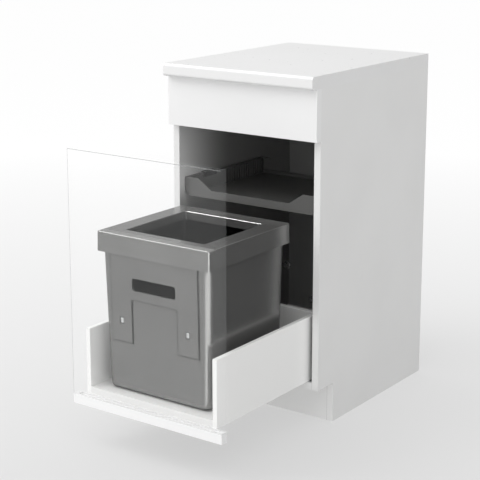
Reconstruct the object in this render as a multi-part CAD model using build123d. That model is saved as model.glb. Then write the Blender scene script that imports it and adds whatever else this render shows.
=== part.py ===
from build123d import *
import math
import os

# Base cabinet with a pull-out waste bin behind a clear front, drawn with its drawer out.
# Millimetres. X is to the right, Y to the back, Z up. The sections below are worked out with
# y = 0 on the carcass's front edges; save() then moves everything to the frame's own origin.

# ---------------------------------------------------------------- cabinet
cabinet_width = 450.0
cabinet_height = 898.0
carcass_depth = 535.0
board = 18.0
worktop_thickness = 32.0
worktop_overhang = 41.0
worktop_edge_radius = 7.0
fascia_height = 128.0
fascia_thickness = 20.0
toe_kick_height = 104.0
toe_kick_setback = 73.0
back_thickness = 8.0
back_inset = 10.0
groove_depth = 8.0
groove_play = 0.2
rail_width = 90.0
cross_rail_drop = 8.0

dowel_radius = 4.0
dowel_in_side = 12.0
dowel_in_end = 21.0
dowel_play = 0.05

# ---------------------------------------------------------------- drawer
front_thickness = 20.0
front_gap = 2.5
front_below_carcass = 2.5
front_edge_break = 0.8
base_rail_rise = 4.5
tongue_thickness = 10.0
tongue_height = 8.0
drawer_length = 440.0
drawer_open = 384.0
closing_gap = 1.5
side_gap = 10.0
side_thickness = 12.0
side_height = 167.7
side_radius = 1.5
skin = 1.2
drawer_floor_gap = 3.3
drawer_board = 18.0
drawer_back_thickness = 16.0
drawer_flange = 14.0
end_cap = 1.5
bracket_wall = 2.5
bracket_reach = 90.0

# ---------------------------------------------------------------- runner section
rail_wall = 1.2
rail_plate = 1.5
rail_half_width = 4.3
rail_flange_height = 38.0
roller_radius = 2.0
roller_length = 4.0
roller_play = 0.05
roller_pitch = 20.0
rail_play = 0.3
slot_half_width = 1.6
web_half_width = 1.0
web_gap = 14.0
rail_length = 432.0
rail_front = 4.0
middle_length = 428.0
cage_length = 200.0
cage_half_width = 2.8
cage_thickness = 1.1

# ---------------------------------------------------------------- bin
bin_width = 321.0
bin_depth = 316.4
bin_rear_from_front = 335.4
bin_height = 390.0
bin_taper = 8.5
bin_corner = 20.0
bin_base_radius = 14.0
bin_wall = 3.0
ring_width = 333.0
ring_depth = 328.4
ring_height = 48.7
ring_wall = 3.0
ring_flare = 0.8
ring_corner = 5.0
ring_edge = 2.0
ring_opening_width = 234.8
ring_opening_depth = 233.3
ring_opening_corner = 6.0
ring_lip_drop = 18.0
slot_width = 130.0
slot_height = 31.0
slot_centre_height = 276.0
slot_corner = 6.0
apron_width = 260.0
apron_thickness = 3.0
apron_bottom = 126.5
apron_cutout_width = 136.0
apron_cutout_height = 110.0
apron_cutout_corner = 9.0
clip_spacing = 199.0
clip_height_on_bin = 181.0
clip_window_width = 12.0
clip_window_height = 18.0
clip_play = 0.75
knob_radius = 9.0
knob_thickness = 8.0
knob_height_on_bin = 287.0
knob_reach = 158.0

# ---------------------------------------------------------------- tray
tray_clearance = 10.3
tray_front_setback = 20.0
tray_depth = 344.0
tray_side_gap = 2.0
tray_floor = 3.0
tray_wall = 12.0
tray_lip = 4.0
tray_lip_height = 20.5
tray_lug_height = 48.0
tray_side_height = 45.0
tray_lug_inner = 162.0
tray_slope_inner = 120.0
tray_corner = 17.0
tray_rear_post = 12.0
tray_rear_flange = 35.0
tray_rear_lip_height = 11.0
guide_height = 14.0
guide_depth = 10.5
guide_play = 0.3
guide_length = 336.0
guide_above_tray = 14.0
clip_length = 55.0
clip_height = 6.0

# ---------------------------------------------------------------- touch latch and screws
latch_width = 14.0
latch_length = 78.0
latch_height = 330.0
plunger_radius = 3.0
plunger_play = 0.08
plunger_tip = 0.3

screw_radius = 2.0
screw_head_radius = 4.0
screw_head_height = 2.5
screw_length = 30.0
screw_play = 0.05

# ---------------------------------------------------------------- worked out
half_width = cabinet_width / 2
inner_half = half_width - board
carcass_height = cabinet_height - worktop_thickness
fascia_bottom = carcass_height - fascia_height
floor_top = toe_kick_height + board
back_front = carcass_depth - back_inset - back_thickness

front_rear = -drawer_open
front_front = front_rear - front_thickness
front_top = fascia_bottom - front_gap
front_bottom = toe_kick_height - front_below_carcass
base_rail_height = front_below_carcass + board + base_rail_rise
base_rail_top = front_bottom + base_rail_height

side_outer = inner_half - side_gap
side_inner = side_outer - side_thickness
side_bottom = floor_top + drawer_floor_gap
side_top = side_bottom + side_height
drawer_rear = front_rear + drawer_length
drawer_board_bottom = side_bottom + skin
drawer_floor = drawer_board_bottom + drawer_board

rail_centre = (side_outer + side_inner) / 2
lower_roller_centre = floor_top + rail_plate + roller_play + roller_radius
middle_bottom = lower_roller_centre + roller_radius + roller_play
lower_lip_bottom = middle_bottom + rail_plate + rail_play
lower_lip_top = lower_lip_bottom + rail_wall
upper_lip_bottom = lower_lip_top + web_gap
middle_top = upper_lip_bottom + rail_wall + rail_play + rail_plate
upper_roller_centre = middle_top + roller_play + roller_radius
drawer_rail_ceiling = upper_roller_centre + roller_radius + roller_play
drawer_rail_top = drawer_rail_ceiling + rail_plate
closed_travel = drawer_open - closing_gap

bin_bottom = drawer_floor
bin_top = bin_bottom + bin_height
bin_rear = front_rear + bin_rear_from_front
bin_centre_y = bin_rear - bin_depth / 2
ring_top = bin_top + ring_wall
ring_bottom = ring_top - ring_height
apron_top = ring_bottom - bin_bottom - 0.5
lean = math.atan2(bin_taper, bin_height)

tray_bottom = ring_top + tray_clearance
tray_half = inner_half - tray_side_gap
tray_rear = tray_front_setback + tray_depth
guide_bottom = tray_bottom + guide_above_tray

rear_most = carcass_depth
front_most = front_front
frame_shift = -(rear_most + front_most) / 2


# ---------------------------------------------------------------- helpers
def block(x0, x1, y0, y1, z0, z1):
    """A box between two corners."""
    centre = ((x0 + x1) / 2, (y0 + y1) / 2, (z0 + z1) / 2)
    return Pos(*centre) * Box(abs(x1 - x0), abs(y1 - y0), abs(z1 - z0))


def rod_x(x0, x1, y, z, radius):
    """A round bar along X."""
    return Pos((x0 + x1) / 2, y, z) * (Rot(0, 90, 0) * Cylinder(radius, abs(x1 - x0)))


def rod_y(x, y0, y1, z, radius):
    """A round bar along Y."""
    return Pos(x, (y0 + y1) / 2, z) * (Rot(90, 0, 0) * Cylinder(radius, abs(y1 - y0)))


def rod_z(x, y, z0, z1, radius):
    """A round bar along Z."""
    return Pos(x, y, (z0 + z1) / 2) * Cylinder(radius, abs(z1 - z0))


def mirrored(part):
    """The same piece on the other side of the cabinet."""
    return mirror(part, about=Plane.YZ)


def group(solids):
    """Identical pieces kept as separate solids of one node."""
    return Compound(children=[solid for part in solids for solid in part.solids()])


def save(name, part):
    """Moves a piece to the frame's origin and writes it."""
    export_step(Pos(0, frame_shift, 0) * part, f"parts/{name}.step")


def save_pair(name, right_part):
    """Writes a piece of the right side and its mirror image."""
    save(f"{name}_right", right_part)
    save(f"{name}_left", mirrored(right_part))


def lengthwise(section, y0, y1):
    """Extrudes a section drawn in X and Z from y0 to y1."""
    return Pos(0, y1, 0) * extrude(Plane.XZ * section, amount=y1 - y0)


def rectangle(x0, x1, z0, z1):
    """A flat rectangle between two corners of a section."""
    return Pos((x0 + x1) / 2, (z0 + z1) / 2) * Rectangle(abs(x1 - x0), abs(z1 - z0))


def pan_screw(location, length=screw_length, radius=screw_radius, head=screw_head_radius):
    """A pan-head screw; its shank runs along the location's +Z from under the head."""
    shank = Pos(0, 0, length / 2) * Cylinder(radius, length)
    cap = Pos(0, 0, -screw_head_height / 2) * Cylinder(head, screw_head_height)
    cap = fillet(cap.edges().group_by(Axis.Z)[0], 1.0)
    return location * (shank + cap)


def screw_hole(location, length=screw_length, radius=screw_radius):
    """The hole that a pan-head screw's shank sits in."""
    return location * (Pos(0, 0, length / 2) * Cylinder(radius + screw_play, length + 0.2))


# ---------------------------------------------------------------- carcass joints
bottom_dowels = [(y, toe_kick_height + board / 2) for y in (50, carcass_depth / 2, carcass_depth - 70)]
front_rail_dowels = [(y, carcass_height - board / 2) for y in (30, 70)]
rear_rail_dowels = [(back_front - y, carcass_height - board / 2) for y in (70, 25)]
cross_rail_bottom = fascia_bottom + cross_rail_drop
cross_rail_top = carcass_height - board
cross_rail_dowels = [(board / 2, z) for z in (cross_rail_bottom + 20, cross_rail_top - 20)]
plinth_dowels = [(toe_kick_setback + board / 2, z) for z in (30, toe_kick_height - 30)]
all_dowels = bottom_dowels + front_rail_dowels + rear_rail_dowels + cross_rail_dowels + plinth_dowels


def dowel_holes(points):
    """Holes for the dowels at both ends of a board, and on into the side panels."""
    radius = dowel_radius + dowel_play
    reach_in = inner_half - dowel_in_end - dowel_play
    reach_out = inner_half + dowel_in_side + dowel_play
    right = [rod_x(reach_in, reach_out, y, z, radius) for y, z in points]
    left = [rod_x(-reach_out, -reach_in, y, z, radius) for y, z in points]
    return Part() + right + left


forwards = Rot(90, 0, 0)
fixing_x = cabinet_width / 3
rail_middle = rail_width / 2
worktop_fixings = [
    Pos(x, y, carcass_height - board)
    for x in (-fixing_x, fixing_x)
    for y in (rail_middle, back_front - rail_middle)
]
fascia_fixings = [
    Pos(x, board, z) * forwards
    for x in (-fixing_x, fixing_x)
    for z in (cross_rail_bottom + 35, cross_rail_top - 35)
]
back_fixings = [
    Pos(x, back_front + back_thickness, z) * forwards
    for x in (-fixing_x, fixing_x)
    for z in (toe_kick_height + board / 2, carcass_height - board / 2)
]
carcass_fixings = worktop_fixings + fascia_fixings + back_fixings
carcass_holes = Part() + [screw_hole(place) for place in carcass_fixings]


# ---------------------------------------------------------------- carcass pieces
def side_panel():
    """Right side board with the toe-kick notch and the groove for the back."""
    panel = block(inner_half, half_width, 0, carcass_depth, 0, carcass_height)
    panel -= block(inner_half, half_width, 0, toe_kick_setback, 0, toe_kick_height)
    panel -= block(
        inner_half,
        inner_half + groove_depth,
        back_front - groove_play / 2,
        back_front + back_thickness + groove_play / 2,
        toe_kick_height - groove_play,
        carcass_height,
    )
    panel -= dowel_holes(all_dowels)
    panel -= [screw_hole(place, guide_screw_length) for place in guide_screw_places()]
    return panel - runner_screw_holes() - latch_screw_holes()


def cross_board(y0, y1, z0, z1, dowels):
    """A board that spans the two side panels."""
    return block(-inner_half, inner_half, y0, y1, z0, z1) - dowel_holes(dowels) - carcass_holes


def worktop():
    """Worktop slab, flush with the sides, rounded along its front edges."""
    slab = block(-half_width, half_width, -worktop_overhang, carcass_depth, carcass_height, cabinet_height)
    front_edges = slab.edges().filter_by(Axis.X).group_by(Axis.Y)[0]
    slab = fillet(front_edges, worktop_edge_radius)
    return slab - carcass_holes


def fascia():
    """Fixed panel under the worktop, in line with the drawer's front."""
    panel = block(-half_width, half_width, -fascia_thickness, 0, fascia_bottom, carcass_height)
    panel = chamfer(panel.edges().group_by(Axis.Y)[0], 0.5)
    return panel - carcass_holes


def back_panel():
    """Thin back held in the grooves of the side panels."""
    reach = inner_half + groove_depth - groove_play
    panel = block(-reach, reach, back_front, back_front + back_thickness, toe_kick_height, carcass_height)
    return panel - carcass_holes


def dowels():
    """All the carcass dowels."""
    bars = []
    for y, z in all_dowels:
        for side in (-1, 1):
            ends = (side * (inner_half - dowel_in_end), side * (inner_half + dowel_in_side))
            bar = rod_x(min(ends), max(ends), y, z, dowel_radius)
            bars.append(chamfer(bar.edges().filter_by(GeomType.CIRCLE), 1.0))
    return group(bars)


# ---------------------------------------------------------------- runners, right side
def rail_box(x0, x1, z0, z1):
    """A rectangle of the runner's section, measured from its centre line."""
    return rectangle(rail_centre + x0, rail_centre + x1, z0, z1)


runner_screw_length = 12.0
runner_screw_ys = (40.0, rail_length / 2, rail_length - 20.0)
runner_screw_z = floor_top + 28.0


def runner_screw_places():
    """Screws from the wall flange into the side panel."""
    inner_face = inner_half - rail_plate
    return [Pos(inner_face, y, runner_screw_z) * Rot(0, 90, 0) for y in runner_screw_ys]


def runner_screw_holes():
    """Pilot holes of the runner's screws."""
    return Part() + [screw_hole(place, runner_screw_length) for place in runner_screw_places()]


def cabinet_rail():
    """Flange on the side panel, foot on the bottom panel and an upright C channel in one strip."""
    section = rectangle(rail_centre - rail_half_width, inner_half, floor_top, floor_top + rail_plate)
    section += rectangle(inner_half - rail_plate, inner_half, floor_top, floor_top + rail_flange_height)
    for side in (-1, 1):
        wall = rail_half_width - rail_wall
        section += rail_box(side * wall, side * rail_half_width, floor_top, lower_lip_top)
        section += rail_box(side * slot_half_width, side * rail_half_width, lower_lip_bottom, lower_lip_top)
    rail = lengthwise(section, rail_front, rail_front + rail_length)
    return rail - runner_screw_holes()


def middle_rail():
    """I beam between the two channels, half way out."""
    flange = rail_half_width - rail_wall - rail_play
    section = rail_box(-flange, flange, middle_bottom, middle_bottom + rail_plate)
    section += rail_box(-flange, flange, middle_top - rail_plate, middle_top)
    section += rail_box(-web_half_width, web_half_width, middle_bottom, middle_top)
    front = rail_front + 2.0 - closed_travel / 2
    return lengthwise(section, front, front + middle_length)


rivet_radius = 1.5
rivet_ys = [front_rear + y for y in (40.0, 216.0, 390.0)]


def rivet(y, radius):
    """Shank and head of one rivet between drawer rail and side profile."""
    head_bottom = drawer_rail_top + skin
    shank = rod_z(rail_centre, y, drawer_rail_ceiling, head_bottom + 0.5, radius)
    return shank + rod_z(rail_centre, y, head_bottom, head_bottom + 1.0, radius * 2)


def rivet_holes():
    """Through holes of the rivets."""
    radius = rivet_radius + screw_play
    top = drawer_rail_top + skin
    return Part() + [rod_z(rail_centre, y, drawer_rail_ceiling, top, radius) for y in rivet_ys]


def drawer_rail():
    """Inverted C channel riveted under the side profile's web."""
    section = rail_box(-rail_half_width, rail_half_width, drawer_rail_ceiling, drawer_rail_top)
    for side in (-1, 1):
        wall = rail_half_width - rail_wall
        section += rail_box(side * wall, side * rail_half_width, upper_lip_bottom, drawer_rail_top)
        lip_top = upper_lip_bottom + rail_wall
        section += rail_box(side * slot_half_width, side * rail_half_width, upper_lip_bottom, lip_top)
    front = rail_front + 0.5 - closed_travel
    return lengthwise(section, front, front + rail_length) - rivet_holes()


def cage(front, centre_height):
    """Flat cage strip with a pocket for each roller."""
    low = centre_height - cage_thickness / 2
    half = cage_half_width
    strip = block(
        rail_centre - half, rail_centre + half, front, front + cage_length, low, low + cage_thickness
    )
    pocket_x = roller_length / 2 + 0.1
    pocket_y = roller_radius + 0.15
    for y in roller_places(front):
        strip -= block(
            rail_centre - pocket_x, rail_centre + pocket_x, y - pocket_y, y + pocket_y, low - 1, low + 3
        )
    return strip


def roller_places(front):
    """Y positions of the rollers in one cage."""
    count = int(cage_length // roller_pitch) - 1
    first = front + (cage_length - (count - 1) * roller_pitch) / 2
    return [first + index * roller_pitch for index in range(count)]


def rollers(front, centre_height):
    """The cage's rollers."""
    half = roller_length / 2
    return group(
        rod_x(rail_centre - half, rail_centre + half, y, centre_height, roller_radius)
        for y in roller_places(front)
    )


full_travel = rail_length - 3.5
travel_left = full_travel - closed_travel
cage_spare = (rail_length - full_travel / 2 - cage_length) / 2
lower_cage_front = rail_front + cage_spare + travel_left / 4
upper_cage_front = rail_front - full_travel / 2 + cage_spare + travel_left * 3 / 4


# ---------------------------------------------------------------- drawer box
flange_screw_x = side_inner - drawer_flange / 2
flange_screw_ys = [front_rear + y for y in (44.0, 220.0, 396.0)]
board_screw_radius = 1.8
board_screw_head = 3.2
board_screw_length = 14.0
flange_screw_places = [
    Pos(side * flange_screw_x, y, side_bottom) for side in (-1, 1) for y in flange_screw_ys
]
bracket_screw_length = 6.0
bracket_bottom = drawer_rail_top + skin + 4.0
bracket_top = side_top - 7.0
bracket_screw_places = [
    Pos(side_inner, front_rear + bracket_reach - 12.0, z) * Rot(0, 90, 0)
    for z in (bracket_bottom + 35.0, bracket_top - 30.0)
]
rear_plate = 2.0
rear_flange = 26.0
rear_screw_places = [
    Pos(side_inner - rear_flange / 2, drawer_rear + rear_plate, z) * forwards
    for z in (bracket_bottom + 35.0, bracket_top - 30.0)
]
base_screw_y = drawer_rear - drawer_back_thickness / 2
base_screw_x = side_inner - 45.0
base_screw_places = [Pos(x, base_screw_y, drawer_board_bottom) for x in (-base_screw_x, 0, base_screw_x)]


def small_screw(location, length):
    """A flat-head screw of the drawer."""
    shank = Pos(0, 0, length / 2) * Cylinder(board_screw_radius, length)
    cap = Pos(0, 0, -skin / 2) * Cylinder(board_screw_head, skin)
    return location * (shank + chamfer(cap.edges().group_by(Axis.Z)[0], 0.5))


def small_hole(location, length):
    """The hole of a drawer screw."""
    return screw_hole(location, length, board_screw_radius)


def drawer_side():
    """Double-walled side profile: two skins, a top, a web over the runner and a foot flange."""
    section = rectangle(side_inner, side_inner + skin, side_bottom, side_top)
    section += rectangle(side_outer - skin, side_outer, side_bottom, side_top)
    section += rectangle(side_inner, side_outer, side_top - skin, side_top)
    section += rectangle(side_inner, side_outer, drawer_rail_top, drawer_rail_top + skin)
    section += rectangle(side_inner - drawer_flange, side_inner, side_bottom, side_bottom + skin)
    top_corners = section.vertices().group_by(Axis.Y)[-1]
    section = fillet(top_corners, min(side_radius, side_thickness / 4))
    profile = lengthwise(section, front_rear + end_cap, drawer_rear)
    profile -= rivet_holes()
    profile -= Part() + [small_hole(place, board_screw_length) for place in flange_screw_places]
    return profile - [small_hole(place, bracket_screw_length) for place in bracket_screw_places]


def drawer_bottom():
    """Bottom board on the foot flanges."""
    panel = block(-side_inner, side_inner, front_rear, drawer_rear, drawer_board_bottom, drawer_floor)
    panel -= [small_hole(place, board_screw_length) for place in flange_screw_places]
    return panel - [small_hole(place, screw_length) for place in base_screw_places]


def drawer_back():
    """Rear board standing on the bottom board."""
    front = drawer_rear - drawer_back_thickness
    panel = block(-side_inner, side_inner, front, drawer_rear, drawer_floor, side_top - 1.0)
    panel -= [small_hole(place, screw_length) for place in base_screw_places]
    rear_holes = Part() + [small_hole(place, board_screw_length) for place in rear_screw_places]
    return panel - rear_holes - mirrored(rear_holes)


def front_bracket():
    """Cap over the side profile's front end, bonded to the front, with an arm inside the profile."""
    cap = block(side_inner, side_outer, front_rear, front_rear + end_cap, side_bottom, side_top)
    top_corners = cap.edges().filter_by(Axis.Y).group_by(Axis.Z)[-1]
    cap = fillet(top_corners, min(side_radius, side_thickness / 4))
    inner = side_inner + skin
    rear = front_rear + bracket_reach
    arm = block(inner, inner + bracket_wall, front_rear, rear, bracket_bottom, bracket_top)
    return cap + arm - [small_hole(place, bracket_screw_length) for place in bracket_screw_places]


def rear_bracket():
    """Cap that closes the side profile's rear end and holds the rear board."""
    inset = skin + 0.3
    inner = side_inner - rear_flange
    rear = drawer_rear + rear_plate
    cap = block(inner, side_outer, drawer_rear, rear, bracket_bottom, bracket_top)
    cap += block(
        side_inner + inset,
        side_outer - inset,
        drawer_rear - 20.0,
        drawer_rear,
        bracket_bottom + 2.0,
        bracket_top - 2.0,
    )
    return cap - [small_hole(place, board_screw_length) for place in rear_screw_places]


def front_pane():
    """Thick clear front with a tongue along its lower edge."""
    pane = block(-half_width, half_width, front_front, front_rear, base_rail_top, front_top)
    outline = pane.edges().filter_by(Axis.Z) + pane.edges().group_by(Axis.Z)[-1].filter_by(Axis.X)
    pane = chamfer(outline, front_edge_break)
    return pane + tongue(0.0)


def tongue(play):
    """The tongue that the pane stands in the base rail with."""
    middle = (front_front + front_rear) / 2
    half = tongue_thickness / 2 + play
    reach = half_width - 12.0 + play
    foot = base_rail_top - tongue_height - play
    return block(-reach, reach, middle - half, middle + half, foot, base_rail_top)


def base_rail():
    """Opaque rail along the foot of the clear front."""
    rail = block(-half_width, half_width, front_front, front_rear, front_bottom, base_rail_top)
    rail = chamfer(rail.edges().filter_by(Axis.Z), front_edge_break)
    return rail - tongue(0.1)


# ---------------------------------------------------------------- bin
def tub(inset, floor_height, radius):
    """Tapered solid with rounded corners; inset is measured inwards from the bin's outside."""
    base = Pos(0, bin_centre_y, floor_height) * RectangleRounded(
        bin_width - 2 * (bin_taper + inset), bin_depth - 2 * (bin_taper + inset), bin_corner - inset
    )
    mouth = Pos(0, bin_centre_y, bin_top) * RectangleRounded(
        bin_width - 2 * inset, bin_depth - 2 * inset, bin_corner - inset
    )
    solid = loft([base, mouth])
    return fillet(solid.edges().group_by(Axis.Z)[0], radius)


def front_wall_plane():
    """Plane on the bin's leaning front wall: X to the right, Y up the wall, Z outwards."""
    foot = (0, bin_centre_y - bin_depth / 2 + bin_taper, bin_bottom)
    return Plane(origin=foot, x_dir=(1, 0, 0), z_dir=(0, -math.cos(lean), -math.sin(lean)))


def hand_slot():
    """Outline of the hand slot on the front wall."""
    return Pos(0, slot_centre_height) * RectangleRounded(slot_width, slot_height, slot_corner)


def clip_places():
    """Centres of the two clips on the front wall."""
    return [(side * clip_spacing / 2, clip_height_on_bin) for side in (-1, 1)]


clip_peg_radius = 2.0


def bin_body():
    """The bin's tapered shell."""
    shell = tub(0, bin_bottom, bin_base_radius)
    inner_radius = max(bin_base_radius - bin_wall, 1.0)
    cavity = tub(bin_wall, bin_bottom + bin_wall, inner_radius)
    shell -= cavity
    wall = front_wall_plane()
    shell -= extrude(wall * hand_slot(), amount=-2 * bin_wall - 1)
    for x, y in clip_places():
        peg = Pos(x, y) * Circle(clip_peg_radius + screw_play)
        shell -= extrude(wall * peg, amount=-2 * bin_wall)
    return shell


def bin_apron():
    """Raised panel on the bin's front wall, open below its middle."""
    height = apron_top - apron_bottom
    outline = Pos(0, apron_bottom + height / 2) * Rectangle(apron_width, height)
    cutout = Pos(0, apron_bottom + apron_cutout_height / 2 - 10) * RectangleRounded(
        apron_cutout_width, apron_cutout_height + 20, apron_cutout_corner
    )
    outline -= cutout
    outline -= hand_slot()
    for x, y in clip_places():
        outline -= Pos(x, y) * Rectangle(clip_window_width, clip_window_height)
    return extrude(front_wall_plane() * outline, amount=apron_thickness)


def apron_clips():
    """Snap clips that hold the apron, each with a peg through the bin's wall."""
    wall = front_wall_plane()
    clips = []
    for x, y in clip_places():
        face = Pos(x, y) * Rectangle(clip_window_width - 2 * clip_play, clip_window_height - 2 * clip_play)
        clip = extrude(wall * face, amount=apron_thickness - 0.6)
        clip += extrude(wall * (Pos(x, y) * Circle(clip_peg_radius)), amount=-bin_wall)
        nib = Pos(x, y + clip_window_height / 5) * Rectangle(clip_window_width / 2, 3.0)
        clip += extrude(wall * nib, amount=apron_thickness + 0.6)
        clips.append(clip)
    return group(clips)


def bag_ring():
    """Square frame over the bin's mouth: a top plate, an outer skirt and an inner lip."""
    foot = Pos(0, bin_centre_y, ring_bottom) * RectangleRounded(
        ring_width + 2 * ring_flare, ring_depth + 2 * ring_flare, ring_corner
    )
    head = Pos(0, bin_centre_y, ring_top) * RectangleRounded(ring_width, ring_depth, ring_corner)
    ring = loft([foot, head])
    ring = fillet(ring.edges().group_by(Axis.Z)[-1], ring_edge)
    hollow_foot = Pos(0, bin_centre_y, ring_bottom - 1) * RectangleRounded(
        ring_width - 2 * ring_wall, ring_depth - 2 * ring_wall, ring_corner - ring_wall / 2
    )
    hollow = extrude(hollow_foot, amount=ring_height - ring_wall + 1)
    lip = RectangleRounded(
        ring_opening_width + 2 * ring_wall,
        ring_opening_depth + 2 * ring_wall,
        ring_opening_corner + ring_wall,
    )
    lip = Pos(0, bin_centre_y, ring_top - ring_wall - ring_lip_drop) * lip
    ring -= hollow
    ring += extrude(lip, amount=ring_lip_drop + ring_wall / 2)
    opening = Pos(0, bin_centre_y, ring_top - ring_height) * RectangleRounded(
        ring_opening_width, ring_opening_depth, ring_opening_corner
    )
    ring -= extrude(opening, amount=ring_height + 5)
    mouth = ring.edges().group_by(Axis.Z)[-1].filter_by(lambda edge: edge.length < ring_opening_width + 1)
    inner = [edge for edge in mouth if abs((edge @ 0.5).X) < ring_opening_width / 2 + 1
             and abs((edge @ 0.5).Y - bin_centre_y) < ring_opening_depth / 2 + 1]
    return fillet(inner, ring_edge)


def rear_knobs():
    """Round black lift knobs on arms at the bin's two rear corners."""
    height = bin_bottom + knob_height_on_bin
    inset = bin_taper * (1 - knob_height_on_bin / bin_height)
    wall_y = bin_rear - inset
    flat_half = bin_width / 2 - inset - bin_corner
    plate = block(flat_half - 26, flat_half - 2, wall_y, wall_y + 5, height - 10, height + 6)
    arm = block(flat_half - 20, knob_reach, wall_y + 2, wall_y + 5, height - 4, height + 4)
    stem = rod_y(knob_reach, wall_y + 2, wall_y + 8, height, knob_radius / 2)
    head = rod_y(knob_reach, wall_y + 7, wall_y + 7 + knob_thickness, height, knob_radius)
    head = fillet(head.edges().filter_by(GeomType.CIRCLE), 1.5)
    wedge = block(flat_half - 30, flat_half + 2, wall_y - 2, wall_y, height - 12, height + 8)
    knob = (plate + arm + stem + head) - wedge
    knob -= tub(-0.02, bin_bottom, bin_base_radius)
    return group([knob, mirrored(knob)])


# ---------------------------------------------------------------- tray
def tray_front_outline():
    """Outline of the tray's front lip: low in the middle, a lug at each end."""
    low = tray_bottom
    points = [
        (-tray_half + tray_corner, low),
        (tray_half - tray_corner, low),
        (tray_half, low + tray_corner),
        (tray_half, low + tray_lug_height),
        (tray_lug_inner, low + tray_lug_height),
        (tray_slope_inner, low + tray_lip_height),
        (-tray_slope_inner, low + tray_lip_height),
        (-tray_lug_inner, low + tray_lug_height),
        (-tray_half, low + tray_lug_height),
        (-tray_half, low + tray_corner),
    ]
    return Polygon(*points, align=None)


def tray_body():
    """Shelf tray: floor, two side walls with guide grooves, front lip and rear posts."""
    low = tray_bottom
    lip = lengthwise(tray_front_outline(), tray_front_setback, tray_front_setback + tray_lip)
    top = low + tray_side_height
    front = tray_front_setback + tray_lip
    inner = tray_half - tray_wall
    floor_plate = block(-inner - 1, inner + 1, tray_front_setback + 1, tray_rear, low, low + tray_floor)
    wall = block(inner, tray_half, tray_front_setback + 1, tray_rear, low, top)
    lower_edge = wall.edges().filter_by(Axis.Y).sort_by(lambda edge: edge.center().X - edge.center().Z)[-1]
    wall = chamfer(lower_edge, tray_wall - 1.0)
    raised = block(inner, tray_half, front - 1, front + 62, top - 1, low + tray_lug_height)
    ramp = block(inner, tray_half, front + 116, front + 128, top - 1, top)
    wall += raised + ramp
    groove = block(
        inner_half - guide_depth - guide_play,
        tray_half + 1,
        tray_front_setback + tray_lip,
        tray_rear + 1,
        guide_bottom - guide_play,
        guide_bottom + guide_height + guide_play,
    )
    wall -= groove
    rear = rectangle(-tray_half, tray_half, low + tray_wall, low + tray_wall + 1)
    for side in (-1, 1):
        rear += rectangle(side * (tray_half - tray_rear_post), side * tray_half, low + tray_wall, top)
        rear += rectangle(side * (tray_half - tray_rear_flange), side * tray_half, top - 3.0, top)
    rear += rectangle(-inner - 2, inner + 2, low, low + tray_rear_lip_height)
    rear_wall = lengthwise(rear, tray_rear - 3.0, tray_rear) - groove - mirrored(groove)
    return floor_plate + lip + wall + mirrored(wall) + rear_wall


def tray_guide():
    """Guide strip on the side panel that the tray's groove slides on."""
    first = tray_front_setback + tray_lip + 1.0
    last = first + guide_length
    top = guide_bottom + guide_height
    strip = block(inner_half - guide_depth, inner_half, first, last, guide_bottom, top)
    strip = chamfer(strip.edges().filter_by(Axis.Z).group_by(Axis.X)[0], 2.0)
    return strip - guide_screw_recesses()


guide_screw_ys = [tray_front_setback + y for y in (40.0, 170.0, 300.0)]
guide_head_depth = 4.0
guide_screw_length = runner_screw_length + 4.0


def guide_screw_places():
    """Screws through the guide into the side panel."""
    head_seat = inner_half - guide_depth + guide_head_depth
    return [Pos(head_seat, y, guide_bottom + guide_height / 2) * Rot(0, 90, 0) for y in guide_screw_ys]


def guide_screw_recesses():
    """Counterbores and shank holes of the guide's screws."""
    z = guide_bottom + guide_height / 2
    seat = inner_half - guide_depth + guide_head_depth
    face = inner_half - guide_depth - 1
    bores = [rod_x(face, seat, y, z, screw_head_radius + 0.3) for y in guide_screw_ys]
    return bores + [screw_hole(place, guide_screw_length) for place in guide_screw_places()]


def tray_clip():
    """Dark clip on top of the tray's side wall."""
    low = tray_bottom + tray_lug_height - 3.0
    first = tray_front_setback + tray_lip + 62
    inner = tray_half - tray_wall - 1.5
    clip = block(inner, tray_half - 1.0, first, first + clip_length, low, low + clip_height)
    clip += block(inner, inner + 1.5, first, first + clip_length, low - 8.0, low + clip_height)
    top_edges = clip.edges().group_by(Axis.Z)[-1].filter_by(Axis.X)
    return chamfer(top_edges, clip_height - 2.0)


# ---------------------------------------------------------------- touch latch
def latch_body():
    """Square latch housing on the right side panel with a bore for its plunger."""
    x0 = inner_half - latch_width
    body = block(x0, inner_half, 3.0, 3.0 + latch_length, latch_height, latch_height + latch_width)
    body = chamfer(body.edges().filter_by(Axis.Y).group_by(Axis.X)[0], 2.0)
    body -= latch_bore(plunger_radius + plunger_play, 3.0 + latch_length - 4.0)
    body += latch_ear(3.0 + latch_length)
    return body - latch_screw_holes()


def latch_ear(y):
    """Flat ear behind the housing for its two screws."""
    return block(inner_half - 3.0, inner_half, y - 1, y + 24.0, latch_height, latch_height + latch_width)


def latch_bore(radius, rear):
    """The plunger's bore."""
    x = inner_half - latch_width / 2
    return rod_y(x, 0, rear, latch_height + latch_width / 2, radius)


def latch_plunger():
    """Spring-loaded plunger, pressed in."""
    x = inner_half - latch_width / 2
    pin = rod_y(x, plunger_tip, latch_length - 4.0, latch_height + latch_width / 2, plunger_radius)
    return chamfer(pin.edges().filter_by(GeomType.CIRCLE), 0.6)


def latch_screw_places():
    """Screws of the latch's ear."""
    y = 3.0 + latch_length
    z = latch_height + latch_width / 2
    return [Pos(inner_half - 3.0, y + step, z) * Rot(0, 90, 0) for step in (7.0, 17.0)]


def latch_screw_holes():
    """Pilot holes of the latch's screws."""
    return Part() + [screw_hole(place, runner_screw_length) for place in latch_screw_places()]


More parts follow.
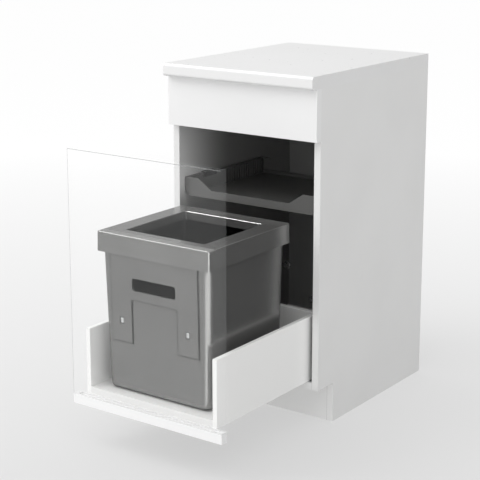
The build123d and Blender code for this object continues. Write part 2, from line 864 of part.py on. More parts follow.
# ---------------------------------------------------------------- assembly
def write_cabinet():
    """Writes the fixed pieces of the cabinet."""
    save_pair("side_panel", side_panel())
    save("bottom_panel", cross_board(0, back_front, toe_kick_height, floor_top, bottom_dowels))
    save("plinth_board", cross_board(
        toe_kick_setback, toe_kick_setback + board, 0, toe_kick_height, plinth_dowels))
    save("front_rail", cross_board(0, rail_width, cross_rail_top, carcass_height, front_rail_dowels))
    save("rear_rail", cross_board(
        back_front - rail_width, back_front, cross_rail_top, carcass_height, rear_rail_dowels))
    save("cross_rail", cross_board(0, board, cross_rail_bottom, cross_rail_top, cross_rail_dowels))
    save("back_panel", back_panel())
    save("worktop", worktop())
    save("fascia_panel", fascia())
    save("carcass_dowels", dowels())
    save("carcass_screws", group(pan_screw(place) for place in carcass_fixings))


def write_runners():
    """Writes both runners."""
    save_pair("cabinet_rail", cabinet_rail())
    save_pair("middle_rail", middle_rail())
    save_pair("drawer_rail", drawer_rail())
    save_pair("lower_cage", cage(lower_cage_front, lower_roller_centre))
    save_pair("lower_rollers", rollers(lower_cage_front, lower_roller_centre))
    save_pair("upper_cage", cage(upper_cage_front, upper_roller_centre))
    save_pair("upper_rollers", rollers(upper_cage_front, upper_roller_centre))
    runner_screws = [
        pan_screw(place, runner_screw_length, head=screw_head_radius - 0.5) for place in runner_screw_places()
    ]
    save("runner_screws", group(runner_screws + [mirrored(part) for part in runner_screws]))
    rivets = [rivet(y, rivet_radius) for y in rivet_ys]
    save("rail_rivets", group(rivets + [mirrored(part) for part in rivets]))


def write_drawer():
    """Writes the drawer box and its clear front."""
    save_pair("drawer_side", drawer_side())
    save("drawer_bottom", drawer_bottom())
    save("drawer_back", drawer_back())
    save_pair("front_bracket", front_bracket())
    save_pair("rear_bracket", rear_bracket())
    save("front_pane", front_pane())
    save("front_base_rail", base_rail())
    screws = [small_screw(place, board_screw_length) for place in flange_screw_places]
    screws += [small_screw(place, screw_length) for place in base_screw_places]
    side_screws = [small_screw(place, bracket_screw_length) for place in bracket_screw_places]
    side_screws += [small_screw(place, board_screw_length) for place in rear_screw_places]
    screws += side_screws + [mirrored(part) for part in side_screws]
    save("drawer_screws", group(screws))


def write_bin():
    """Writes the bin and what is on it."""
    save("bin_body", bin_body())
    save("bin_apron", bin_apron())
    save("apron_clips", apron_clips())
    save("bag_ring", bag_ring())
    save("bin_knobs", rear_knobs())


def write_tray():
    """Writes the shelf tray and its guides."""
    save("tray", tray_body())
    save_pair("tray_guide", tray_guide())
    save_pair("tray_clip", tray_clip())
    screws = [
        pan_screw(place, guide_screw_length, head=screw_head_radius - 0.2) for place in guide_screw_places()
    ]
    save("guide_screws", group(screws + [mirrored(part) for part in screws]))


def write_latch():
    """Writes the touch latch."""
    save("touch_latch", latch_body())
    save("latch_plunger", latch_plunger())
    save("latch_screws", group(pan_screw(place, runner_screw_length) for place in latch_screw_places()))


def main():
    """Writes every piece."""
    os.makedirs("parts", exist_ok=True)
    write_cabinet()
    write_runners()
    write_drawer()
    write_bin()
    write_tray()
    write_latch()


if __name__ == "__main__":
    main()
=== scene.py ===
"""Looks of a white base cabinet with a pull-out waste bin behind a clear front."""

import logging
import math
from dataclasses import dataclass
from enum import Enum
from typing import Any, Callable, Iterable, Optional, Sequence, Union

import bmesh
import bpy
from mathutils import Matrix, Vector


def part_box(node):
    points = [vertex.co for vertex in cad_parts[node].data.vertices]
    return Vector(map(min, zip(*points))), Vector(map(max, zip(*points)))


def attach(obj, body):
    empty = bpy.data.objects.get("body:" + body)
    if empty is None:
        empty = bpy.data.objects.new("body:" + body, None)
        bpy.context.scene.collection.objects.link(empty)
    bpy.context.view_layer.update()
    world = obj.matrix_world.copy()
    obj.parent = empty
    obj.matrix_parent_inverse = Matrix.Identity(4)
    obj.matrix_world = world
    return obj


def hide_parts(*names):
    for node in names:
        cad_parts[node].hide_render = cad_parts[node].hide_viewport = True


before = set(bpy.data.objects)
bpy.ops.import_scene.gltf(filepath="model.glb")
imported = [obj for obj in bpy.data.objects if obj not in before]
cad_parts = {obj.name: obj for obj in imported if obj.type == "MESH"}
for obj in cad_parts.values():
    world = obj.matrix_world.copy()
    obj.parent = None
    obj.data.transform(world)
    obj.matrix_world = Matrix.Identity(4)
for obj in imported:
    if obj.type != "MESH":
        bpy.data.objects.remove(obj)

MM = 0.001
Number = Union[int, float]
Colour = tuple[float, float, float]

log = logging.getLogger("waste_bin_cabinet")


class Body(Enum):
    """Moving bodies that carry pieces made here."""

    DRAWER = "drawer"
    TRAY = "tray"


class Slot(Enum):
    """Material slot names, not used by the pieces made here."""

    CLEAR_FRONT = "clear_front"
    TRAY_PLASTIC = "tray_plastic"


@dataclass(frozen=True)
class Noise:
    """Smooth noise fixed to a piece: waves per metre, octaves, weight of the fine ones and stretch."""

    per_metre: float
    octaves: float = 3.0
    fine_weight: float = 0.5
    stretch: tuple[float, float, float] = (1.0, 1.0, 1.0)


@dataclass(frozen=True)
class Clouds:
    """Soft patches where a colour is darker: their noise, its ramp and what the colour is multiplied by."""

    noise: Noise
    starts: float
    full: float
    share: float


# ------------------------------------------------------------------ shader wiring
def paint(name: str) -> "Graph":
    """Starts a material.

    Args:
        name: The material's name.

    Returns:
        Its empty graph.
    """
    return Graph(bpy.data.materials.new(name))


class Wire:
    """One output socket of a graph, with arithmetic that adds Math nodes."""

    def __init__(self, graph: "Graph", socket: bpy.types.NodeSocket) -> None:
        """Wraps a socket.

        Args:
            graph: The graph that the socket belongs to.
            socket: The output socket.
        """
        self.graph = graph
        self.socket = socket

    def _math(self, operation: str, *values: Union["Wire", Number]) -> "Wire":
        """Adds one Math node.

        Args:
            operation: The node's operation.
            values: Its inputs in order.

        Returns:
            The node's result.
        """
        inputs = {index: value for index, value in enumerate(values)}
        return self.graph.node("ShaderNodeMath", {"operation": operation}, inputs)

    def __add__(self, other: Union["Wire", Number]) -> "Wire":
        """Sum of two values."""
        return self._math("ADD", self, other)

    __radd__ = __add__

    def __sub__(self, other: Union["Wire", Number]) -> "Wire":
        """Difference of two values."""
        return self._math("SUBTRACT", self, other)

    def __rsub__(self, other: Union["Wire", Number]) -> "Wire":
        """Difference with the number first."""
        return self._math("SUBTRACT", other, self)

    def __mul__(self, other: Union["Wire", Number]) -> "Wire":
        """Product of two values."""
        return self._math("MULTIPLY", self, other)

    def __truediv__(self, other: Union["Wire", Number]) -> "Wire":
        """Quotient of two values."""
        return self._math("DIVIDE", self, other)

    def __lt__(self, other: Union["Wire", Number]) -> "Wire":
        """1 where the value is below the other."""
        return self._math("LESS_THAN", self, other)

    def __gt__(self, other: Union["Wire", Number]) -> "Wire":
        """1 where the value is above the other."""
        return self._math("GREATER_THAN", self, other)

    def size(self) -> "Wire":
        """The value without its sign."""
        return self._math("ABSOLUTE", self)

    def least(self, other: Union["Wire", Number]) -> "Wire":
        """The smaller of two values."""
        return self._math("MINIMUM", self, other)

    def most(self, other: Union["Wire", Number]) -> "Wire":
        """The larger of two values."""
        return self._math("MAXIMUM", self, other)

    def ramp(self, low: Number, high: Number) -> "Wire":
        """Rises smoothly from 0 at low to 1 at high.

        Args:
            low: Where the result is 0.
            high: Where the result is 1.

        Returns:
            The clamped, smoothed value.
        """
        settings = {"interpolation_type": "SMOOTHSTEP", "clamp": True}
        inputs = {"Value": self, "From Min": low, "From Max": high, "To Min": 0.0, "To Max": 1.0}
        return self.graph.node("ShaderNodeMapRange", settings, inputs)


class Graph:
    """A node graph, of a material or of the surrounding light."""

    def __init__(self, owner: Any) -> None:
        """Clears the owner's nodes.

        Args:
            owner: The material or world that holds the nodes.
        """
        self.owner = owner
        owner.use_nodes = True
        self.tree = owner.node_tree
        self.tree.nodes.clear()
        self._axes: dict[str, Wire] = {}

    def add(self, kind: str, settings: dict[str, Any], inputs: dict[Any, Any]) -> bpy.types.Node:
        """Adds a node, sets its options and fills its sockets.

        Args:
            kind: The node's type.
            settings: Options by attribute name.
            inputs: Socket values or links, by name or number.

        Returns:
            The new node.
        """
        made = self.tree.nodes.new(kind)
        for key, value in settings.items():
            setattr(made, key, value)
        for key, value in inputs.items():
            socket = made.inputs[key]
            if isinstance(value, Wire):
                self.tree.links.new(value.socket, socket)
            elif isinstance(value, tuple) and len(value) == 3 and socket.type == "RGBA":
                socket.default_value = (*value, 1.0)
            else:
                socket.default_value = value
        return made

    def node(self, kind: str, settings: dict[str, Any], inputs: dict[Any, Any], output: Any = 0) -> Wire:
        """Adds a node and wraps one of its outputs.

        Args:
            kind: The node's type.
            settings: Options by attribute name.
            inputs: Socket values or links.
            output: The output's name or number.

        Returns:
            The wrapped output.
        """
        return Wire(self, self.add(kind, settings, inputs).outputs[output])

    def place(self) -> Wire:
        """The point's position on the piece in metres, or the direction in the surrounding light."""
        if "all" not in self._axes:
            kind = "Generated" if isinstance(self.owner, bpy.types.World) else "Object"
            self._axes["all"] = self.node("ShaderNodeTexCoord", {}, {}, kind)
        return self._axes["all"]

    def axis(self, letter: str) -> Wire:
        """One coordinate of the point's position.

        Args:
            letter: "X", "Y" or "Z".

        Returns:
            The coordinate.
        """
        if letter not in self._axes:
            apart = self.add("ShaderNodeSeparateXYZ", {}, {"Vector": self.place()})
            for name in "XYZ":
                self._axes[name] = Wire(self, apart.outputs[name])
        return self._axes[letter]

    def towards(self, heading: Sequence[float]) -> Wire:
        """How nearly the surrounding light's direction is a heading.

        Args:
            heading: The heading, of any length.

        Returns:
            The cosine of the angle between them.
        """
        settings = {"operation": "DOT_PRODUCT"}
        aim = tuple(Vector(heading).normalized())
        return self.node("ShaderNodeVectorMath", settings, {0: self.place(), 1: aim}, "Value")

    def noise(self, kind: Noise) -> Wire:
        """Smooth noise.

        Args:
            kind: Its numbers.

        Returns:
            A value around 0.5.
        """
        where = self.place()
        if kind.stretch != (1.0, 1.0, 1.0):
            settings = {"operation": "MULTIPLY"}
            where = self.node("ShaderNodeVectorMath", settings, {0: where, 1: kind.stretch})
        inputs = {"Vector": where, "Scale": kind.per_metre, "Detail": kind.octaves,
                  "Roughness": kind.fine_weight}
        return self.node("ShaderNodeTexNoise", {"noise_dimensions": "3D"}, inputs, "Fac")

    def around(self, middle: float, kind: Noise, spread: float) -> Wire:
        """A value that wanders a little over the piece.

        Args:
            middle: The value that it wanders about.
            kind: The noise that it follows.
            spread: How far it goes from least to most.

        Returns:
            The wandering value.
        """
        return middle + (self.noise(kind) - 0.5) * spread

    def clouded(self, colour: Colour, clouds: Clouds) -> Wire:
        """A colour with soft darker patches.

        Args:
            colour: The colour.
            clouds: The patches.

        Returns:
            The patchy colour.
        """
        amount = self.noise(clouds.noise).ramp(clouds.starts, clouds.full)
        return self.mix(amount, colour, darker(colour, clouds.share))

    def cells(self, per_metre: float) -> Wire:
        """Distance to the nearest point of a scattered set, fixed to the piece.

        Args:
            per_metre: Points per metre.

        Returns:
            The distance as a share of the spacing.
        """
        inputs = {"Vector": self.place(), "Scale": per_metre}
        return self.node("ShaderNodeTexVoronoi", {"feature": "F1"}, inputs, "Distance")

    def mix(self, amount: Union[Wire, Number], low: Any, high: Any) -> Wire:
        """Mixes two colours.

        Args:
            amount: 0 gives low and 1 gives high.
            low: First colour or link.
            high: Second colour or link.

        Returns:
            The mixed colour.
        """
        return self.node("ShaderNodeMix", {"data_type": "RGBA"}, {0: amount, 6: low, 7: high}, 2)

    def bump(self, height: Wire, depth_mm: float, strength: float = 1.0) -> Wire:
        """A bumped normal.

        Args:
            height: Height field, 0 to 1.
            depth_mm: Height that 1 stands for.
            strength: How strongly it shows.

        Returns:
            The normal.
        """
        inputs = {"Height": height, "Distance": depth_mm * MM, "Strength": strength}
        return self.node("ShaderNodeBump", {}, inputs, "Normal")

    def principled(self, **inputs: Any) -> bpy.types.Node:
        """Adds the surface shader.

        Args:
            inputs: Socket values with underscores for spaces.

        Returns:
            The shader node.
        """
        named = {key.replace("_", " "): value for key, value in inputs.items()}
        return self.add("ShaderNodeBsdfPrincipled", {}, named)

    def finish(self, shader: bpy.types.Node) -> Any:
        """Links a shader to the output.

        Args:
            shader: The last shader node.

        Returns:
            The finished material or world.
        """
        surrounding = isinstance(self.owner, bpy.types.World)
        kind = "ShaderNodeOutputWorld" if surrounding else "ShaderNodeOutputMaterial"
        self.add(kind, {}, {"Surface": Wire(self, shader.outputs[0])})
        return self.owner


# ------------------------------------------------------------------ finishes
def darker(colour: Colour, share: float) -> Colour:
    """A colour with every part scaled.

    Args:
        colour: The colour.
        share: What each part is multiplied by.

    Returns:
        The scaled colour.
    """
    return tuple(part * share for part in colour)


@dataclass(frozen=True)
class Laminate:
    """Melamine board, with painted shade on its inner faces, darker deeper inside the cabinet, where a
    shade colour is given.
    """

    name: str
    face: Colour
    inner_shade: Optional[Colour] = None
    rough: float = 0.34
    rough_spread: float = 0.10
    patches: Noise = Noise(40.0)
    clouds: Clouds = Clouds(Noise(5.0, 4.0), 0.35, 0.7, 0.975)
    pores: Noise = Noise(900.0, 2.0)
    pore_mm: float = 0.02
    pore_strength: float = 0.25
    ior: float = 1.48
    inner_shade_play: float = 0.0004
    bright_to: float = 0.01
    dark_from: float = 0.17
    shelf_fade: float = 0.05

    def material(self) -> bpy.types.Material:
        """Builds the board's material.

        Returns:
            The material.
        """
        graph = paint(self.name)
        base = graph.clouded(self.face, self.clouds)
        # Painted shade: the inner faces take a darker colour, more so deeper in and below the tray.
        if self.inner_shade:
            inward = graph.axis("X").size() < (inner_half() + self.inner_shade_play)
            base = graph.mix(inward, base, self._painted_inner_shade(graph))
        rough = graph.around(self.rough, self.patches, self.rough_spread)
        normal = graph.bump(graph.noise(self.pores), self.pore_mm, self.pore_strength)
        return graph.finish(graph.principled(
            Base_Color=base, Roughness=rough, Normal=normal, IOR=self.ior))

    def _painted_inner_shade(self, graph: Graph) -> Wire:
        """Painted shade: white at the opening above the shelf tray, darker deeper in and below the tray,
        where shade falls.

        Args:
            graph: The material's graph.

        Returns:
            The colour.
        """
        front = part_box("side_panel_left")[0].y
        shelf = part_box("tray")[0].z
        deep = graph.axis("Y").ramp(front + self.bright_to, self.dark_from)
        under = 1.0 - graph.axis("Z").ramp(shelf - self.shelf_fade, shelf + self.shelf_fade)
        return graph.mix(deep.most(under), self.face, self.inner_shade)


@dataclass(frozen=True)
class MineralTop:
    """Fine-grained pale mineral composite of the worktop."""

    name: str = "mineral_worktop"
    ground: Colour = (0.80, 0.80, 0.80)
    grain: Colour = (0.70, 0.70, 0.69)
    flecks_per_metre: float = 700.0
    fleck_core: float = 0.12
    fleck_rim: float = 0.26
    fleck_share: float = 0.35
    veins: Noise = Noise(7.0, 5.0)
    vein_starts: float = 0.3
    vein_full: float = 0.75
    vein_share: float = 0.12
    rough: float = 0.30
    rough_spread: float = 0.12
    patches: Noise = Noise(60.0, 4.0)
    pores: Noise = Noise(1200.0, 2.0)
    pore_mm: float = 0.015
    pore_strength: float = 0.3
    ior: float = 1.5

    def material(self) -> bpy.types.Material:
        """Builds the worktop's material.

        Returns:
            The material.
        """
        graph = paint(self.name)
        fleck = 1.0 - graph.cells(self.flecks_per_metre).ramp(self.fleck_core, self.fleck_rim)
        vein = graph.noise(self.veins).ramp(self.vein_starts, self.vein_full)
        base = graph.mix(fleck * self.fleck_share + vein * self.vein_share, self.ground, self.grain)
        rough = graph.around(self.rough, self.patches, self.rough_spread)
        normal = graph.bump(graph.noise(self.pores), self.pore_mm, self.pore_strength)
        return graph.finish(graph.principled(
            Base_Color=base, Roughness=rough, Normal=normal, IOR=self.ior))


@dataclass(frozen=True)
class Lacquer:
    """Smooth sprayed finish with a faint ripple, and a greyer glued edge where one is given."""

    name: str
    colour: Colour
    rough: float = 0.28
    glued_above: Optional[float] = None
    rough_spread: float = 0.03
    patches: Noise = Noise(12.0, 2.0)
    clouds: Clouds = Clouds(Noise(4.0, 3.0), 0.3, 0.7, 0.985)
    glue_share: float = 0.8
    ripple: Noise = Noise(350.0, 2.0)
    ripple_mm: float = 0.004
    ripple_strength: float = 0.5
    ior: float = 1.5

    def material(self) -> bpy.types.Material:
        """Builds the lacquer.

        Returns:
            The material.
        """
        graph = paint(self.name)
        base = graph.clouded(self.colour, self.clouds)
        if self.glued_above is not None:
            glued = graph.axis("Z") > self.glued_above
            base = graph.mix(glued, base, darker(self.colour, self.glue_share))
        rough = graph.around(self.rough, self.patches, self.rough_spread)
        normal = graph.bump(graph.noise(self.ripple), self.ripple_mm, self.ripple_strength)
        return graph.finish(graph.principled(
            Base_Color=base, Roughness=rough, Normal=normal, IOR=self.ior))


@dataclass(frozen=True)
class MouldedPlastic:
    """Injection-moulded plastic with a fine eroded grain and light scuffs.

    A part may have a shade mask, where its colour is darker, and a satin mask, where it is less polished.
    """

    name: str
    colour: Colour
    rough: float = 0.36
    grain: Noise = Noise(2600.0, 2.0, 0.6)
    grain_mm: float = 0.01
    scuffs: float = 0.5
    scuff_noise: Noise = Noise(130.0, 5.0, 0.65, (1.0, 1.0, 0.12))
    scuff_starts: float = 0.62
    scuff_full: float = 0.78
    scuff_paleness: float = 1.35
    scuff_lift: float = 0.02
    scuff_share: float = 0.25
    clouds: Clouds = Clouds(Noise(9.0, 4.0), 0.3, 0.7, 0.93)
    flake: float = 0.0
    patches: Noise = Noise(70.0)
    patchy: float = 1.0
    rough_spread: float = 0.12
    ior: float = 1.49
    shade: Optional[Callable[[Graph], Wire]] = None
    shade_by: float = 0.5
    satin: Optional[Callable[[Graph], Wire]] = None
    satin_rough: float = 0.22

    def material(self) -> bpy.types.Material:
        """Builds the plastic.

        Returns:
            The material.
        """
        graph = paint(self.name)
        scuff = graph.noise(self.scuff_noise).ramp(self.scuff_starts, self.scuff_full) * self.scuffs
        pale = tuple(min(part * self.scuff_paleness + self.scuff_lift, 1.0) for part in self.colour)
        base = graph.clouded(self.colour, self.clouds)
        base = graph.mix(scuff * self.scuff_share, base, pale)
        if self.shade:
            base = graph.mix(self.shade(graph), base, darker(self.colour, self.shade_by))
        uneven = graph.around(0.0, self.patches, self.rough_spread) + scuff * self.rough_spread
        rough = self.rough + uneven * self.patchy
        if self.satin:
            rough = rough + self.satin(graph) * self.satin_rough
        normal = graph.bump(graph.noise(self.grain), self.grain_mm)
        return graph.finish(graph.principled(
            Base_Color=base, Roughness=rough, Normal=normal, IOR=self.ior, Metallic=self.flake))


@dataclass(frozen=True)
class ClearPane:
    """Clear cast sheet with a faint milky haze that also glows as painted light, and a thin grey painted
    edge reflection at its left and top.
    """

    name: str = "clear_pane"
    haze: Colour = (0.95, 0.96, 0.955)
    painted_edge_reflection: Colour = (0.26, 0.27, 0.27)
    haze_share: float = 0.018
    haze_spread: float = 0.004
    haze_noise: Noise = Noise(3.0, 4.0)
    outline_share: float = 0.55
    outline_mm: float = 1.6
    outline_rough: float = 0.5
    rough: float = 0.1
    rough_spread: float = 0.05
    patches: Noise = Noise(25.0)
    painted_glow_strength: float = 0.45
    ior: float = 1.49

    def material(self) -> bpy.types.Material:
        """Builds the clear sheet.

        Returns:
            The material.
        """
        graph = paint(self.name)
        low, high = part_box("front_pane")
        reach = self.outline_mm * MM
        side = graph.axis("X") < (low.x + reach)
        edge = side.most(graph.axis("Z") > (high.z - reach)) * (graph.axis("Y") < (low.y + reach / 2))
        # Painted reflection: the left and top edges are grey where the edge would reflect dark
        # surroundings.
        base = graph.mix(edge, self.haze, self.painted_edge_reflection)
        # Painted light: the haze glows by itself everywhere but those edges.
        glow = graph.mix(edge, self.haze, (0.0, 0.0, 0.0))
        rough = self.rough + graph.noise(self.patches) * self.rough_spread + edge * self.outline_rough
        share = graph.around(self.haze_share, self.haze_noise, self.haze_spread)
        return graph.finish(graph.principled(
            Base_Color=base, Roughness=rough, Alpha=share + edge * self.outline_share, IOR=self.ior,
            Emission_Color=glow, Emission_Strength=self.painted_glow_strength))


@dataclass(frozen=True)
class Steel:
    """Zinc-plated steel with fine drawing lines."""

    name: str
    colour: Colour
    rough: float
    rough_spread: float = 0.2
    spangle: Clouds = Clouds(Noise(60.0, 4.0), 0.3, 0.7, 0.82)
    draw_lines: Noise = Noise(900.0, 3.0, 0.6, (1.0, 0.02, 1.0))
    draw_mm: float = 0.01
    draw_strength: float = 0.3

    def material(self) -> bpy.types.Material:
        """Builds the steel.

        Returns:
            The material.
        """
        graph = paint(self.name)
        drawn = graph.noise(self.draw_lines)
        base = graph.clouded(self.colour, self.spangle)
        rough = self.rough + (drawn - 0.5) * self.rough_spread
        normal = graph.bump(drawn, self.draw_mm, self.draw_strength)
        return graph.finish(graph.principled(Base_Color=base, Metallic=1.0, Roughness=rough, Normal=normal))


@dataclass(frozen=True)
class Beech:
    """Pale beech of the dowels, with grain along their length."""

    name: str = "beech"
    early: Colour = (0.62, 0.42, 0.24)
    late: Colour = (0.48, 0.30, 0.16)
    rough: float = 0.6
    rough_spread: float = 0.1
    grain: Noise = Noise(700.0, 4.0, 0.6, (0.05, 1.0, 1.0))
    grain_starts: float = 0.3
    grain_full: float = 0.7
    grain_mm: float = 0.05
    grain_strength: float = 0.5

    def material(self) -> bpy.types.Material:
        """Builds the wood.

        Returns:
            The material.
        """
        graph = paint(self.name)
        grain = graph.noise(self.grain)
        base = graph.mix(grain.ramp(self.grain_starts, self.grain_full), self.early, self.late)
        rough = self.rough + (grain - 0.5) * self.rough_spread
        normal = graph.bump(grain, self.grain_mm, self.grain_strength)
        return graph.finish(graph.principled(Base_Color=base, Roughness=rough, Normal=normal))


# ------------------------------------------------------------------ shared measures
def inner_half() -> float:
    """Half the clear width between the side panels, in metres."""
    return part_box("bottom_panel")[1].x


def dress(material: bpy.types.Material, nodes: Iterable[str]) -> None:
    """Gives CAD nodes a finish.

    Args:
        material: The finish.
        nodes: The nodes' names.
    """
    for name in nodes:
        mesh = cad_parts[name].data
        mesh.materials.clear()
        mesh.materials.append(material)
        log.info("%s wears %s", name, material.name)


def both(name: str) -> tuple[str, str]:
    """The left and right node of a pair.

    Args:
        name: The name without its side.

    Returns:
        Both full names.
    """
    return f"{name}_left", f"{name}_right"


def piece(name: str, shape: bmesh.types.BMesh, body: Body, material: bpy.types.Material,
          bevel_mm: float, segments: int) -> bpy.types.Object:
    """Turns a bmesh into a piece of the model.

    Args:
        name: The piece's name.
        shape: Its shape in metres, freed here.
        body: The body that it rides on.
        material: Its finish.
        bevel_mm: Width of its rounded edges.
        segments: Steps in each rounded edge.

    Returns:
        The new object.
    """
    mesh = bpy.data.meshes.new(name)
    bmesh.ops.recalc_face_normals(shape, faces=shape.faces)
    shape.to_mesh(mesh)
    shape.free()
    mesh.materials.append(material)
    made = bpy.data.objects.new(name, mesh)
    bpy.context.scene.collection.objects.link(made)
    rounding = made.modifiers.new("rounded_edges", "BEVEL")
    rounding.width = bevel_mm * MM
    rounding.segments = segments
    rounding.limit_method = "ANGLE"
    rounding.harden_normals = True
    for face in mesh.polygons:
        face.use_smooth = True
    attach(made, body.value)
    log.info("%s rides on %s", name, body.value)
    return made


def add_block(shape: bmesh.types.BMesh, low: Sequence[float], high: Sequence[float]) -> None:
    """Adds a closed block to a shape.

    Args:
        shape: The shape to add to.
        low: Its lowest corner in metres.
        high: Its highest corner in metres.
    """
    made = bmesh.ops.create_cube(shape, size=1.0)
    centre = (Vector(low) + Vector(high)) / 2
    spread = Vector(high) - Vector(low)
    bmesh.ops.scale(shape, vec=spread, verts=made["verts"])
    bmesh.ops.translate(shape, vec=centre, verts=made["verts"])


# ------------------------------------------------------------------ sub-assemblies
@dataclass
class Carcass:
    """Side panels, bottom, rails, back, plinth, worktop and fascia."""

    # The third colour is painted shade on the side panels' inner faces, darker deeper in the cabinet.
    white: Laminate = Laminate("white_laminate", (0.80, 0.80, 0.795), (0.25, 0.25, 0.247))
    edge: Laminate = Laminate("white_edged_board", (0.80, 0.80, 0.795))
    # Painted shade: the rails and back panel are grey to stand for the shade inside the cabinet.
    inner_shade: Laminate = Laminate("grey_painted_shade", (0.33, 0.33, 0.326), rough=0.45)
    front: Lacquer = Lacquer("white_lacquer", (0.84, 0.84, 0.84))
    top: MineralTop = MineralTop()
    wood: Beech = Beech()

    def build(self) -> None:
        """Dresses the cabinet's boards."""
        dress(self.white.material(), both("side_panel"))
        dress(self.edge.material(), ["bottom_panel", "plinth_board"])
        dress(self.inner_shade.material(), ["front_rail", "rear_rail", "cross_rail", "back_panel"])
        dress(self.front.material(), ["fascia_panel"])
        dress(self.top.material(), ["worktop"])
        dress(self.wood.material(), ["carcass_dowels"])


@dataclass
class Runners:
    """Steel rails, their roller cages and the cabinet's screws."""

    zinc: Steel = Steel("zinc_plate", (0.62, 0.63, 0.64), 0.32)
    cages: MouldedPlastic = MouldedPlastic("cage_plastic", (0.55, 0.54, 0.50), 0.5)
    rollers: MouldedPlastic = MouldedPlastic("roller_plastic", (0.72, 0.70, 0.64), 0.35)

    def build(self) -> None:
        """Dresses rails, screws, rivets, cages and rollers."""
        rails = [*both("cabinet_rail"), *both("middle_rail"), *both("drawer_rail")]
        screws = ["carcass_screws", "runner_screws", "guide_screws", "latch_screws", "rail_rivets",
                  "drawer_screws"]
        dress(self.zinc.material(), rails + screws)
        dress(self.cages.material(), [*both("lower_cage"), *both("upper_cage")])
        dress(self.rollers.material(), [*both("lower_rollers"), *both("upper_rollers")])


@dataclass
class Drawer:
    """Drawer box, its brackets and the clear front."""

    coated: Lacquer = Lacquer("white_coated_steel", (0.90, 0.90, 0.89), 0.34)
    board: Laminate = Laminate("drawer_board", (0.80, 0.80, 0.79))
    pane: ClearPane = ClearPane()
    glue_mm: float = 1.0
    bond_mm: float = 0.25
    ease_mm: float = 1.0
    ease_steps: int = 3

    def build(self) -> None:
        """Dresses the drawer."""
        shells = [*both("drawer_side"), *both("front_bracket"), *both("rear_bracket")]
        dress(self.coated.material(), shells)
        dress(self.board.material(), ["drawer_bottom", "drawer_back"])
        glued_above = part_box("front_base_rail")[1].z - self.glue_mm * MM
        rail = Lacquer("white_base_rail", (0.90, 0.90, 0.90), 0.3, glued_above)
        dress(rail.material(), ["front_base_rail"])
        self._pane()

    def _pane(self) -> None:
        """The clear sheet with eased edges, a hair clear of what stands behind it."""
        low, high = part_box("front_pane")
        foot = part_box("front_base_rail")[1].z
        play = self.bond_mm * MM
        sheet = bmesh.new()
        add_block(sheet, (low.x, low.y, foot + play), (high.x, high.y - play, high.z))
        made = piece("clear_front_sheet", sheet, Body.DRAWER,
                     self.pane.material(), self.ease_mm, self.ease_steps)
        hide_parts("front_pane")


